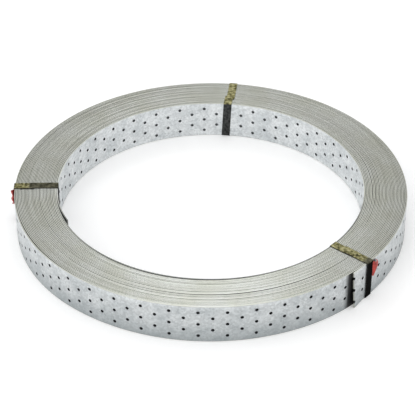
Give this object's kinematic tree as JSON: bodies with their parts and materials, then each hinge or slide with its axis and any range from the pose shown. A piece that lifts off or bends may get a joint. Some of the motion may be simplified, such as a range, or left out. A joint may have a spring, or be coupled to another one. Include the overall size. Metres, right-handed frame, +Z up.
{
  "type": "wind bracing strap",
  "caption": "Flat coil of galvanised perforated steel band, tied with steel strapping, for bracing timber roof and wall frames against wind.",
  "frame": {"origin": "on the coil's axis, at the underside of the ties that it lies on", "axes": "+Z up along the coil's axis; -Y towards the front, between the left tie and the front tie"},
  "size_m": [0.592, 0.5846, 0.062],
  "materials": {
    "galvanised_steel": "hot-dip galvanised, fine spangle",
    "tie_steel": "blued and waxed strapping",
    "red_plastic": "matt red"
  },
  "bodies": {
    "root": {"perforated_strap": "galvanised_steel", "tie_left": "tie_steel", "tie_back": "tie_steel", "tie_front": "tie_steel", "red_tab_left": "red_plastic", "red_tab_front": "red_plastic"}
  },
  "joints": []
}
